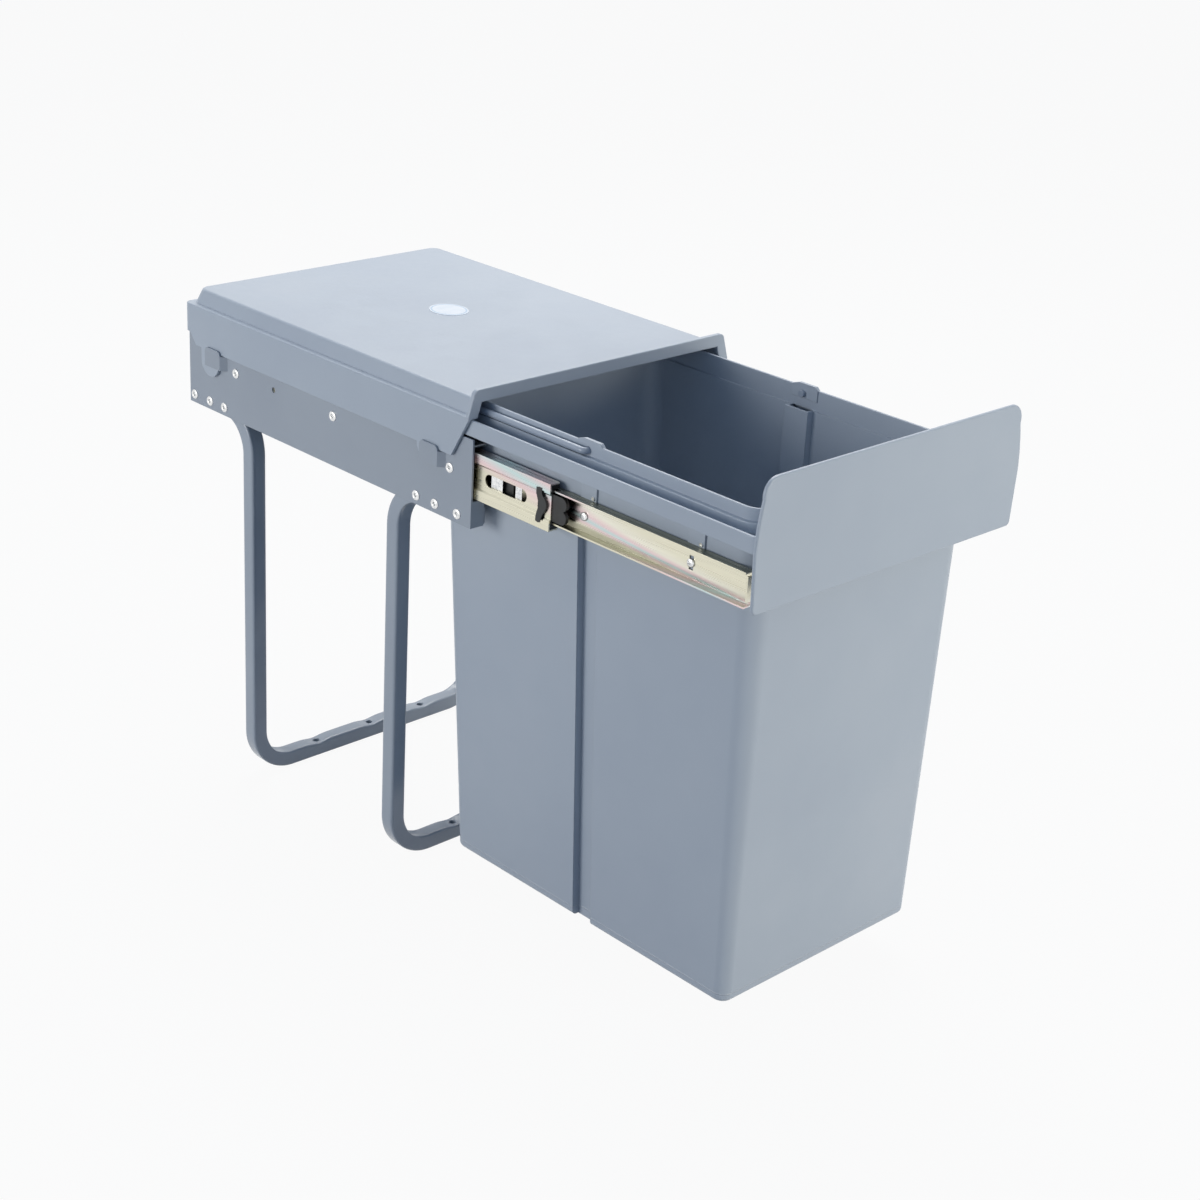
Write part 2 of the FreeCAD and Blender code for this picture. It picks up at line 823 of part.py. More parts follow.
def ring_walls():
    """Outer skirt, ledge and inner wall of the ring, before its pads."""
    y_in0 = container_y - neck_half_y - ring_clear
    y_in1 = container_y + neck_half_y + ring_clear
    x_in = wall_out - ring_wall_t
    y0 = panel_back
    y1 = y_in1 + ring_wall_t + ring_back
    r = ring_corner_r
    t = ring_skirt_t
    inner_r = neck_corner_r + ring_clear
    w = ring_wall_t
    skirt = rounded_slab(ring_out, y0, y1, r, ring_bottom, ring_top)
    hollow = rounded_slab(ring_out - t, y0 + t, y1 - t, r - t, ledge_top, ring_top + 1)
    wall = rounded_slab(wall_out, y_in0 - w, y_in1 + w, inner_r + w, ring_wall_bottom, ledge_top)
    s = ring_seat_t
    seat = rounded_slab(x_in + s, y_in0 - s, y_in1 + s, inner_r + s, ledge_top, ledge_top + ring_seat)
    opening = rounded_slab(x_in, y_in0, y_in1, inner_r, ring_wall_bottom - 1, ring_top + 1)
    skirt = skirt.cut(hollow)
    skirt = skirt.makeFillet(ring_edge_r, top_edges(skirt, ring_top))
    return skirt.fuse(wall).fuse(seat).cut(opening)


def ring():
    """The ring that hangs between the slides and carries the container."""
    shape = ring_walls()
    for offset in screw_offsets:
        y = pad_centre(offset)
        pad = box(-wall_out - ring_pad, -wall_out, y - pad_width / 2, y + pad_width / 2,
                  ring_wall_bottom, ring_bottom)
        start = V(-plate_out, inner_front + offset, rail_centre_z)
        hole = rod(screw_r + screw_fit, plate_span / 4, start, X_AXIS)
        pin = rod(pad_rivet_r / 2 + screw_fit, plate_span / 4,
                  V(-plate_out, pad_rivet_y(offset), pad_rivet_z), X_AXIS)
        for piece in both(pad):
            shape = shape.fuse(piece)
        for piece in both(hole) + both(pin):
            shape = shape.cut(piece)
    z = (ledge_top + ring_top) / 2
    for x in panel_screw_x:
        hole = rod(panel_screw_r + screw_fit, ring_skirt_t + 2, V(x, panel_back - 1, z), Y_AXIS)
        shape = shape.cut(hole)
    return shape.removeSplitter()


def panel_outline():
    """The front panel's outline: wide at the middle, drawn in towards the crown."""
    y = panel_back - panel_t
    r = panel_foot_r
    foot = panel_foot_half
    k = r * (1 - math.sqrt(0.5))
    rise = panel_top - panel_shoulder_z
    bulge_z = (panel_widest_z + panel_shoulder_z) / 2
    bulge = panel_half - (panel_half - panel_shoulder_half) * 0.3
    crown = panel_shoulder_half - panel_crown_in
    shoulder = panel_shoulder_half - panel_crown_bulge
    right = [
        Part.LineSegment(V(0, y, panel_bottom), V(foot - r, y, panel_bottom)),
        Part.Arc(V(foot - r, y, panel_bottom), V(foot - k, y, panel_bottom + k),
                 V(foot, y, panel_bottom + r)),
        Part.LineSegment(V(foot, y, panel_bottom + r), V(panel_half, y, panel_widest_z)),
        Part.Arc(V(panel_half, y, panel_widest_z), V(bulge, y, bulge_z),
                 V(panel_shoulder_half, y, panel_shoulder_z)),
        Part.Arc(V(panel_shoulder_half, y, panel_shoulder_z),
                 V(shoulder, y, panel_shoulder_z + rise * 0.72), V(crown, y, panel_top)),
        Part.LineSegment(V(crown, y, panel_top), V(0, y, panel_top)),
    ]
    edges = [curve.toShape() for curve in right]
    left = [edge.mirror(V(0, 0, 0), X_AXIS) for edge in edges]
    return Part.Wire(Part.__sortEdges__(edges + left))


def front_panel():
    """The plastic front panel, screwed to the front of the ring."""
    shape = Part.Face(panel_outline()).extrude(V(0, panel_t, 0))
    rounded = []
    for edge in shape.Edges:
        if edge.BoundBox.YLength < 0.01:
            rounded.append(edge)
    shape = shape.makeFillet(panel_edge_r, rounded)
    z = (ledge_top + ring_top) / 2
    for x in panel_screw_x:
        hole = rod(panel_screw_r + screw_fit, panel_t * 0.7, V(x, panel_back - panel_t * 0.7, z), Y_AXIS)
        shape = shape.cut(hole)
    return shape


def panel_screw(x):
    """A screw from the ring's front skirt into the panel."""
    z = (ledge_top + ring_top) / 2
    y = panel_back + ring_skirt_t
    length = ring_skirt_t + panel_t * 0.6
    head = rod(panel_screw_head_r, panel_screw_head_t, V(x, y, z), Y_AXIS)
    shank = rod(panel_screw_r, length, V(x, y - length, z), Y_AXIS)
    return head.fuse(shank).removeSplitter()


def cover_shell():
    """The cover's crown and skirt before the front is cut."""
    far = cover_front - 4 * cover_corner_r
    f = cover_flare
    crown = tapered((cover_half + f, far, cover_back + f, cover_corner_r, cover_ledge),
                    (cover_half, far, cover_back, cover_corner_r, cover_top))
    crown = crown.makeFillet(cover_edge_r, top_edges(crown, cover_top))
    y1 = plate_back + skirt_gap + skirt_t
    skirt = rounded_slab(skirt_out, far, y1, skirt_corner_r, skirt_bottom, cover_ledge)
    skirt = skirt.makeFillet(ledge_edge_r, top_edges(skirt, cover_ledge))
    t = cover_t
    room = tapered((cover_half + f - t, far, cover_back + f - t, cover_corner_r - t, cover_ledge - 0.01),
                   (cover_half - t, far, cover_back - t, cover_corner_r - t, cover_top - t))
    low_room = rounded_slab(skirt_in, far, y1 - skirt_t, skirt_inner_r,
                            skirt_bottom - cut_over, cover_ledge - t)
    neck = rounded_slab(cover_half + f - t, far, cover_back + f - t, cover_corner_r - t,
                        skirt_bottom, cover_ledge)
    return crown.fuse(skirt).cut(low_room).cut(neck).cut(room)


def cover_cuts():
    """What is cut from the cover's skirt: the slanted front and the raised back edge."""
    wide = plate_span
    front = prism([
        V(-wide, skirt_cut_y, skirt_bottom - cut_over),
        V(-wide, skirt_cut_y, skirt_bottom),
        V(-wide, cover_front, rim_bottom),
        V(-wide, cover_front, cover_top + cut_over),
        V(-wide, -wide * 2, cover_top + cut_over),
        V(-wide, -wide * 2, skirt_bottom - cut_over),
    ], V(2 * wide, 0, 0))
    rise = skirt_back_bottom - skirt_bottom
    back = prism([
        V(-wide, skirt_back_step - rise / 2, skirt_bottom - cut_over),
        V(-wide, skirt_back_step + rise / 2, skirt_back_bottom),
        V(-wide, wide, skirt_back_bottom),
        V(-wide, wide, skirt_bottom - cut_over),
    ], V(2 * wide, 0, 0))
    return front.fuse(back)


def rim_half_outline(y):
    """Outer and inner outline of the raised rim, right half from the bottom up."""
    top = cover_top + rim_rise
    outer = [
        V(skirt_out, y, rim_bottom),
        V(skirt_out, y, cover_ledge),
        V(rim_crown_half, y, top),
    ]
    inner = [
        V(rim_inner_crown, y, cover_top - cover_t),
        V(rim_inner_half, y, rim_bottom),
    ]
    return outer, inner


def cover_rim():
    """The raised rim around the cover's front opening."""
    outer, inner = rim_half_outline(cover_front)
    points = outer + [V(-p.x, p.y, p.z) for p in reversed(outer)]
    points += [V(-p.x, p.y, p.z) for p in reversed(inner)]
    points += inner
    shape = prism(points, V(0, rim_t, 0))
    corners = []
    for edge in shape.Edges:
        if edge.BoundBox.YLength > rim_t - 0.01 and edge.BoundBox.ZMin > cover_top + cut_over:
            corners.append(edge)
    shape = shape.makeFillet(rim_corner_r, corners)
    front = []
    for edge in shape.Edges:
        if edge.BoundBox.YLength < 0.01:
            front.append(edge)
    return shape.makeFillet(rim_front_r, front)


def tongue(centre, tip):
    """A rounded tongue of the cover's skirt that slips behind a strap."""
    r = tongue_width / 2
    corner = min(r - 0.01, skirt_bottom - tip - cut_over)
    body = box(-skirt_out, -skirt_in, centre - r, centre + r, tip, skirt_bottom + cut_over)
    edges = []
    for edge in body.Edges:
        if edge.BoundBox.XLength > skirt_t - 0.01 and edge.BoundBox.ZMax < tip + 0.01:
            edges.append(edge)
    return body.makeFillet(corner, edges)


def cover():
    """The plastic cover with its rim and tongues."""
    shape = cover_shell().cut(cover_cuts()).fuse(cover_rim())
    for centre, tip in zip(tongue_centres, tongue_tips):
        for piece in both(tongue(centre, tip)):
            shape = shape.fuse(piece)
    return shape.removeSplitter()


def badge():
    """A plain oval badge on the middle of the cover."""
    centre = V(badge_x, badge_y, cover_top)
    ellipse = Part.Ellipse(centre + V(0, badge_long / 2, 0), centre + V(badge_wide / 2, 0, 0), centre)
    return Part.Face(Part.Wire(ellipse.toShape())).extrude(V(0, 0, badge_t))


def frame_nodes():
    """Everything that stands still."""
    left = side_plate()
    grip = plate_t + tube_wall
    rivets = []
    for y in rear_rivets_y + front_rivets_y:
        rivets += both(rivet(y, tube_z, grip))
    rail_rivets = []
    for y in rail_rivets_y:
        rail_rivets += both(rivet(y, rail_centre_z, plate_t + outer_t))
    rail = outer_rail()
    return {
        "left_side_plate": left,
        "right_side_plate": mirrored(left),
        "rear_leg": leg(row_half, rail_back, rear_rivets_y),
        "front_leg": leg(-row_half, rail_front, front_rivets_y),
        "leg_rivets": group(rivets),
        "rail_rivets": group(rail_rivets),
        "left_outer_rail": rail,
        "right_outer_rail": mirrored(rail),
        "rear_stops": group(both(rear_stop())),
        "cover": cover(),
        "cover_badge": badge(),
    }


def cage_nodes():
    """The ball cages and balls of both slides."""
    full = (rail_front + mid_front + mid_length - (mid_reach - mid_out)) / 2
    outer_centre = full + (mid_reach - mid_out) / 2
    inner_centre = mid_front + bumper_cheek_end + cage_end_gap + inner_cage_length / 2
    nodes = {}
    for name, v, half, centre, length in (
            ("outer", outer_ball_v, outer_ball_half, outer_centre, outer_cage_length),
            ("inner", inner_ball_v, inner_ball_half, inner_centre, inner_cage_length)):
        strips = cage(v, half, centre, length)
        spheres = balls(v, half, centre, length)
        nodes["left_" + name + "_cage"] = strips
        nodes["right_" + name + "_cage"] = mirrored(strips)
        nodes["left_" + name + "_balls"] = spheres
        nodes["right_" + name + "_balls"] = mirrored(spheres)
    return nodes


def drawer_nodes():
    """Everything that moves out with the drawer."""
    middle = mid_rail()
    inner = inner_rail()
    screws = []
    pins = []
    for offset in screw_offsets:
        screws += both(rail_screw(inner_front + offset))
        pins += both(pad_rivet(pad_rivet_y(offset)))
    return {
        "left_mid_rail": middle,
        "right_mid_rail": mirrored(middle),
        "mid_rail_bumpers": group(both(mid_bumper())),
        "left_inner_rail": inner,
        "right_inner_rail": mirrored(inner),
        "release_latches": group(both(latch())),
        "rail_screws": group(screws),
        "pad_rivets": group(pins),
        "carrier_ring": ring(),
        "front_panel": front_panel(),
        "panel_screws": group([panel_screw(x) for x in panel_screw_x]),
        "container": container(),
        "bail": bail(),
    }


def main():
    """Build every piece and write it to its own file."""
    os.makedirs("parts", exist_ok=True)
    nodes = {}
    nodes.update(frame_nodes())
    nodes.update(cage_nodes())
    nodes.update(drawer_nodes())
    for name, shape in nodes.items():
        solids = len(shape.Solids)
        print(name, "solids", solids, "valid", shape.isValid(), "volume", round(shape.Volume, 1))
        shape.exportStep("parts/" + name + ".step")


main()
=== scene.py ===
import json
import math
import bpy
import bmesh
from mathutils import Matrix, Vector


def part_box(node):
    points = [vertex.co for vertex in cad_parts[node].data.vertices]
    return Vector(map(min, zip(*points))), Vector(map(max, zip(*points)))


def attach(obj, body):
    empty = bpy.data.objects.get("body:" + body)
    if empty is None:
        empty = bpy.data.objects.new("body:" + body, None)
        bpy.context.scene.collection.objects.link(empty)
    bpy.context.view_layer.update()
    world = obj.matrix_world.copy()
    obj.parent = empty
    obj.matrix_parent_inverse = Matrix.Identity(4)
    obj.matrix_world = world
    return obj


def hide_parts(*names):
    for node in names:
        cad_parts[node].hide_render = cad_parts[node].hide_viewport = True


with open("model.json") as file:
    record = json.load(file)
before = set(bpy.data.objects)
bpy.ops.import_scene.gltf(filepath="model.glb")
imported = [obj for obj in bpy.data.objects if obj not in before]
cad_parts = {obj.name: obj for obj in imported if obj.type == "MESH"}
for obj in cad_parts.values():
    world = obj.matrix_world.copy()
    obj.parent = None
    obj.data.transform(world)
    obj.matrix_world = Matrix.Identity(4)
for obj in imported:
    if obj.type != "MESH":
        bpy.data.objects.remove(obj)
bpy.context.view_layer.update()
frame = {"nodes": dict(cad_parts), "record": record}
nodes = frame["nodes"]
print("frame loaded:", len(nodes), "pieces")

mm = 0.001
noiseSpan = {"From Min": 0.3, "From Max": 0.7}  # where most of a noise's values lie


def hexColour(code):
    # sRGB hex to the linear values that the shaders want
    out = []
    for i in (1, 3, 5):
        c = int(code[i:i + 2], 16) / 255
        out.append(c / 12.92 if c <= 0.04045 else ((c + 0.055) / 1.055) ** 2.4)
    return (*out, 1.0)


def addNode(tree, kind, settings=None, links=None):
    # one shader node: settings go to its sockets or its own fields, links come from other nodes
    node = tree.nodes.new(kind)
    for name, value in (settings or {}).items():
        if name == "stops":
            # colours of a ramp, from low to high
            band = node.color_ramp
            while len(band.elements) < len(value):
                band.elements.new(0.5)
            for element, (place, code) in zip(band.elements, value):
                element.position = place
                element.color = hexColour(code)
        elif isinstance(name, int) or name in node.inputs:
            node.inputs[name].default_value = value
        else:
            setattr(node, name, value)
    for name, source in (links or {}).items():
        other, socket = source if isinstance(source, tuple) else (source, 0)
        tree.links.new(other.outputs[socket], node.inputs[name])
    return node


def newMaterial(name, bsdf):
    # a material with one Principled shader that has its plain values set
    mat = bpy.data.materials.new(name)
    mat.use_nodes = True
    tree = mat.node_tree
    tree.nodes.clear()
    shader = addNode(tree, "ShaderNodeBsdfPrincipled", bsdf)
    addNode(tree, "ShaderNodeOutputMaterial", None, {"Surface": shader})
    return mat, tree, shader


# what the moulded parts look like, in millimetres
plastic = {
    "colour": "#a8b2be", "shade": "#a4aebb", "light": "#adb6c1", "cloud": 160.0,
    "rough": (0.33, 0.45), "sheen": 14.0, "grain": 0.9, "grainHeight": 0.04, "edge": 0.9,
}


def mouldedPolypropylene(name="mouldedPolypropylene"):
    # polypropylene from a spark-eroded mould: satin, a fine even grain and faint flow clouds
    mat, tree, shader = newMaterial(name, {"IOR": 1.49, "Roughness": 0.46, "Specular IOR Level": 0.5})
    place = addNode(tree, "ShaderNodeTexCoord")
    cloud = addNode(tree, "ShaderNodeTexNoise", {"Scale": 1000 / plastic["cloud"], "Detail": 3.0,
                                                 "Roughness": 0.55}, {"Vector": (place, "Object")})
    tint = addNode(tree, "ShaderNodeValToRGB", {"stops": (
        (0.3, plastic["shade"]), (0.5, plastic["colour"]), (0.72, plastic["light"]))}, {"Fac": cloud})
    tree.links.new(tint.outputs["Color"], shader.inputs["Base Color"])
    sheen = addNode(tree, "ShaderNodeTexNoise", {"Scale": 1000 / plastic["sheen"], "Detail": 4.0},
                    {"Vector": (place, "Object")})
    low, high = plastic["rough"]
    gloss = addNode(tree, "ShaderNodeMapRange", {**noiseSpan, "To Min": low, "To Max": high},
                    {"Value": sheen})
    tree.links.new(gloss.outputs[0], shader.inputs["Roughness"])
    fine = addNode(tree, "ShaderNodeTexNoise", {"Scale": 1000 / plastic["grain"], "Detail": 2.0},
                   {"Vector": (place, "Object")})
    edge = addNode(tree, "ShaderNodeBevel", {"samples": 4, "Radius": plastic["edge"] * mm})
    bump = addNode(tree, "ShaderNodeBump", {"Strength": 0.35, "Distance": plastic["grainHeight"] * mm},
                   {"Height": fine, "Normal": edge})
    tree.links.new(bump.outputs[0], shader.inputs["Normal"])
    return mat


# powder coat: colour, shade and roughness on each kind of steel, then sizes in millimetres
steel = {
    "plate": ("#98a1ac", "#939ca8", 0.36), "tube": ("#9aa4b0", "#949eab", 0.24),
    "wire": ("#a0abb9", "#96a1b0", 0.28),
    "cloud": 90.0, "orangePeel": 2.2, "peelHeight": 0.05, "edge": 0.35,
}


def powderCoatedSteel(name, colour, shade, rough):
    # polyester powder baked on steel: an even semi-gloss skin with a slight orange peel
    mat, tree, shader = newMaterial(name, {"IOR": 1.5, "Roughness": rough, "Coat Weight": 0.15,
                                           "Coat Roughness": 0.25})
    place = addNode(tree, "ShaderNodeTexCoord")
    cloud = addNode(tree, "ShaderNodeTexNoise", {"Scale": 1000 / steel["cloud"], "Detail": 3.0},
                    {"Vector": (place, "Object")})
    tint = addNode(tree, "ShaderNodeValToRGB", {"stops": ((0.35, shade), (0.65, colour))}, {"Fac": cloud})
    tree.links.new(tint.outputs["Color"], shader.inputs["Base Color"])
    peel = addNode(tree, "ShaderNodeTexNoise", {"Scale": 1000 / steel["orangePeel"], "Detail": 1.0},
                   {"Vector": (place, "Object")})
    edge = addNode(tree, "ShaderNodeBevel", {"samples": 4, "Radius": steel["edge"] * mm})
    bump = addNode(tree, "ShaderNodeBump", {"Strength": 0.3, "Distance": steel["peelHeight"] * mm},
                   {"Height": peel, "Normal": edge})
    tree.links.new(bump.outputs[0], shader.inputs["Normal"])
    return mat


# the slides' plating: streak is the length of its wavering, reach half the height that the colours run over,
# lift where the streak starts above the rails' middle, draw the width of the drawing lines, in millimetres
# the dark colour given to the rails' flanges is painted shade, and film is how strongly it covers them
zinc = {
    "straw": "#d6d3c0", "pink": "#dcc6c8", "cyan": "#bcd2d2", "pale": "#dedccf", "paintedShade": "#6f7468",
    "band": 26.0, "streak": 210.0, "waver": 0.5, "slope": 0.11, "reach": 30.0, "lift": 6.0,
    "draw": 1.2, "drawLong": 60.0, "drawHeight": 0.03, "edge": 0.3, "rough": 0.30, "film": 0.8,
}


def passivatedZinc(name="passivatedZinc", paintFlangeShade=False):
    # roll-formed steel, zinc plated and yellow passivated: straw with a pink and green streak along the roll
    # rails that take it get painted shade on their flanges: faces that look up or down turn dark, as the
    # shade and dark reflections there would
    rough = zinc["rough"]
    mat, tree, shader = newMaterial(name, {"Metallic": 1.0, "Roughness": rough})
    place = addNode(tree, "ShaderNodeTexCoord")
    # one streak falls slowly towards the front over the rails, and a noise stretched in Y lets it waver
    low, high = (Vector(corner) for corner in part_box("left_mid_rail"))
    start = (low.z + high.z) / 2 + zinc["lift"] * mm
    axis = addNode(tree, "ShaderNodeSeparateXYZ", None, {"Vector": (place, "Object")})
    fall = addNode(tree, "ShaderNodeMath", {"operation": "MULTIPLY_ADD", 1: -zinc["slope"],
                                            2: zinc["slope"] * low.y - start}, {0: (axis, "Y")})
    above = addNode(tree, "ShaderNodeMath", {"operation": "ADD"}, {0: (axis, "Z"), 1: fall})
    reach, waver = zinc["reach"] * mm, zinc["waver"]
    share = addNode(tree, "ShaderNodeMapRange", {"From Min": -reach, "From Max": reach, "To Min": -waver / 2,
                                                 "To Max": 1 - waver / 2}, {"Value": above})
    wide = 1000 / zinc["band"]
    along = addNode(tree, "ShaderNodeMapping", {"Scale": (wide, 1000 / zinc["streak"], wide)},
                    {"Vector": (place, "Object")})
    noise = addNode(tree, "ShaderNodeTexNoise", {"Scale": 1.0, "Detail": 0.5, "Distortion": 0.3},
                    {"Vector": along})
    band = addNode(tree, "ShaderNodeMath", {"operation": "MULTIPLY_ADD", 1: waver}, {0: noise, 2: share})
    tint = addNode(tree, "ShaderNodeValToRGB", {"stops": (
        (0.36, zinc["straw"]), (0.44, zinc["pink"]), (0.50, zinc["cyan"]),
        (0.56, zinc["pink"]), (0.64, zinc["pale"]), (0.76, zinc["straw"]))}, {"Fac": band})
    tree.links.new(tint.outputs["Color"], shader.inputs["Base Color"])
    # painted shade: a dark colour mixed in on faces that look up or down, where the flanges lie in shade
    if paintFlangeShade:
        axes = addNode(tree, "ShaderNodeSeparateXYZ", None, {"Vector": (place, "Normal")})
        upward = addNode(tree, "ShaderNodeMath", {"operation": "ABSOLUTE"}, {0: (axes, "Z")})
        film = addNode(tree, "ShaderNodeMapRange", {"From Min": 0.45, "From Max": 0.85, "To Min": 0.0,
                                                    "To Max": zinc["film"]}, {"Value": upward})
        flangesInPaintedShade = addNode(tree, "ShaderNodeMix", {"data_type": "RGBA", 7: hexColour(zinc["paintedShade"])},
                         {0: film, 6: (tint, "Color")})
        tree.links.new(flangesInPaintedShade.outputs[2], shader.inputs["Base Color"])
    fine = 1000 / zinc["draw"]
    lines = addNode(tree, "ShaderNodeMapping", {"Scale": (fine, 1000 / zinc["drawLong"], fine)},
                    {"Vector": (place, "Object")})
    drawn = addNode(tree, "ShaderNodeTexNoise", {"Scale": 1.0, "Detail": 2.0}, {"Vector": lines})
    gloss = addNode(tree, "ShaderNodeMapRange", {**noiseSpan, "To Min": rough - 0.06, "To Max": rough + 0.08},
                    {"Value": drawn})
    tree.links.new(gloss.outputs[0], shader.inputs["Roughness"])
    edge = addNode(tree, "ShaderNodeBevel", {"samples": 4, "Radius": zinc["edge"] * mm})
    bump = addNode(tree, "ShaderNodeBump", {"Strength": 0.12, "Distance": zinc["drawHeight"] * mm},
                   {"Height": drawn, "Normal": edge})
    tree.links.new(bump.outputs[0], shader.inputs["Normal"])
    return mat


rivetZinc = {"colour": "#eceded", "shade": "#cfd1d4", "rough": 0.24, "worn": 1.6}


def brightZinc(name="brightZinc"):
    # clear zinc on small cold-headed parts: almost white metal with a soft mirror
    rough = rivetZinc["rough"]
    mat, tree, shader = newMaterial(name, {"Metallic": 1.0, "Roughness": rough})
    place = addNode(tree, "ShaderNodeTexCoord")
    worn = addNode(tree, "ShaderNodeTexNoise", {"Scale": 1000 / rivetZinc["worn"], "Detail": 3.0},
                   {"Vector": (place, "Object")})
    tint = addNode(tree, "ShaderNodeValToRGB", {"stops": (
        (0.3, rivetZinc["shade"]), (0.6, rivetZinc["colour"]))}, {"Fac": worn})
    tree.links.new(tint.outputs["Color"], shader.inputs["Base Color"])
    gloss = addNode(tree, "ShaderNodeMapRange", {**noiseSpan, "To Min": rough - 0.06, "To Max": rough + 0.12},
                    {"Value": worn})
    tree.links.new(gloss.outputs[0], shader.inputs["Roughness"])
    return mat


acetal = {"colour": "#1c2023", "shade": "#101214", "grain": 6.0, "grainHeight": 0.04, "edge": 0.5}


def blackAcetal(name="blackAcetal"):
    # moulded acetal or rubber: near black, a dull sheen from a mould grain, drawn coarse so that it shows
    mat, tree, shader = newMaterial(name, {"IOR": 1.48, "Roughness": 0.42})
    place = addNode(tree, "ShaderNodeTexCoord")
    cloud = addNode(tree, "ShaderNodeTexNoise", {"Scale": 1000 / acetal["grain"], "Detail": 3.0},
                    {"Vector": (place, "Object")})
    tint = addNode(tree, "ShaderNodeValToRGB", {"stops": ((0.35, acetal["shade"]), (0.65, acetal["colour"]))},
                   {"Fac": cloud})
    tree.links.new(tint.outputs["Color"], shader.inputs["Base Color"])
    edge = addNode(tree, "ShaderNodeBevel", {"samples": 4, "Radius": acetal["edge"] * mm})
    bump = addNode(tree, "ShaderNodeBump", {"Strength": 0.25, "Distance": acetal["grainHeight"] * mm},
                   {"Height": cloud, "Normal": edge})
    tree.links.new(bump.outputs[0], shader.inputs["Normal"])
    return mat


balls = {"colour": "#d9dadb", "shade": "#b9bbbd", "film": 2.0}


def polishedBallSteel(name="polishedBallSteel"):
    # hardened chrome steel balls, ground and greased: a mirror with a thin uneven film
    mat, tree, shader = newMaterial(name, {"Metallic": 1.0, "Roughness": 0.12})
    place = addNode(tree, "ShaderNodeTexCoord")
    film = addNode(tree, "ShaderNodeTexNoise", {"Scale": 1000 / balls["film"]}, {"Vector": (place, "Object")})
    tint = addNode(tree, "ShaderNodeValToRGB", {"stops": ((0.3, balls["shade"]), (0.7, balls["colour"]))},
                   {"Fac": film})
    tree.links.new(tint.outputs["Color"], shader.inputs["Base Color"])
    return mat


# the rim's place is a share of the badge's radius
badge = {
    "white": "#dfe6ee", "haze": "#d3deea", "cloud": 7.0, "rim": "#a9c4dd", "rimFrom": 0.84, "rimTo": 0.93,
}


def domedLabel(name="glossLabelPlastic"):
    # a doming-resin label: blank white print with a pale blue rim under clear gloss
    mat, tree, shader = newMaterial(name, {"IOR": 1.5, "Roughness": 0.2, "Coat Weight": 0.6,
                                           "Coat Roughness": 0.06})
    place = addNode(tree, "ShaderNodeTexCoord")
    haze = addNode(tree, "ShaderNodeTexNoise", {"Scale": 1000 / badge["cloud"]},
                   {"Vector": (place, "Object")})
    tint = addNode(tree, "ShaderNodeValToRGB", {"stops": ((0.3, badge["haze"]), (0.7, badge["white"]))},
                   {"Fac": haze})
    low, high = (Vector(corner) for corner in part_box("cover_badge"))
    centre, half = (low + high) / 2, (high - low) / 2
    flat = addNode(tree, "ShaderNodeMapping", {
        "Location": (-centre.x / half.x, -centre.y / half.y, -centre.z),
        "Scale": (1 / half.x, 1 / half.y, 1.0)}, {"Vector": (place, "Object")})
    away = addNode(tree, "ShaderNodeVectorMath", {"operation": "LENGTH"}, {"Vector": flat})
    inside = addNode(tree, "ShaderNodeMath", {"operation": "GREATER_THAN", 1: badge["rimFrom"]},
                     {0: (away, "Value")})
    outside = addNode(tree, "ShaderNodeMath", {"operation": "LESS_THAN", 1: badge["rimTo"]},
                      {0: (away, "Value")})
    band = addNode(tree, "ShaderNodeMath", {"operation": "MULTIPLY"}, {0: inside, 1: outside})
    rimmed = addNode(tree, "ShaderNodeMix", {"data_type": "RGBA", 7: hexColour(badge["rim"])},
                     {0: band, 6: (tint, "Color")})
    tree.links.new(rimmed.outputs[2], shader.inputs["Base Color"])
    return mat


# where the mould's two halves met on the container, in millimetres above its foot
mouldLine = {"up": 7.0, "deep": 0.5, "height": 0.4, "colour": "#dde2e6", "share": 0.3}


def partingLine(mat, node):
    # the faint pale line that two halves of a mould leave round a moulded body
    tree = mat.node_tree
    shader = [n for n in tree.nodes if n.type == "BSDF_PRINCIPLED"][0]
    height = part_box(node)[0][2] + mouldLine["up"] * mm
    place = addNode(tree, "ShaderNodeTexCoord")
    axes = addNode(tree, "ShaderNodeSeparateXYZ", None, {"Vector": (place, "Object")})
    away = addNode(tree, "ShaderNodeMath", {"operation": "SUBTRACT", 1: height}, {0: (axes, "Z")})
    side = addNode(tree, "ShaderNodeMath", {"operation": "ABSOLUTE"}, {0: away})
    line = addNode(tree, "ShaderNodeMapRange", {"From Min": 0.0, "From Max": mouldLine["deep"] * mm,
                                                "To Min": 1.0, "To Max": 0.0}, {"Value": side})
    tint = shader.inputs["Base Color"].links[0].from_node
    faint = addNode(tree, "ShaderNodeMath", {"operation": "MULTIPLY", 1: mouldLine["share"]}, {0: line})
    paler = addNode(tree, "ShaderNodeMix", {"data_type": "RGBA", 7: hexColour(mouldLine["colour"])},
                    {0: faint, 6: (tint, "Color")})
    tree.links.new(paler.outputs[2], shader.inputs["Base Color"])
    old = shader.inputs["Normal"].links[0].from_node
    bump = addNode(tree, "ShaderNodeBump", {"Strength": 0.8, "Distance": mouldLine["height"] * mm},
                   {"Height": line, "Normal": old})
    tree.links.new(bump.outputs[0], shader.inputs["Normal"])
    return mat


coatedTube = powderCoatedSteel("powderCoatedTube", *steel["tube"])
# zinc rail steel with painted shade on its flanges
railSteelWithPaintedShade = passivatedZinc("passivatedZincPaintedShade", paintFlangeShade=True)
rivetSteel = brightZinc()
blackPlastic = blackAcetal()

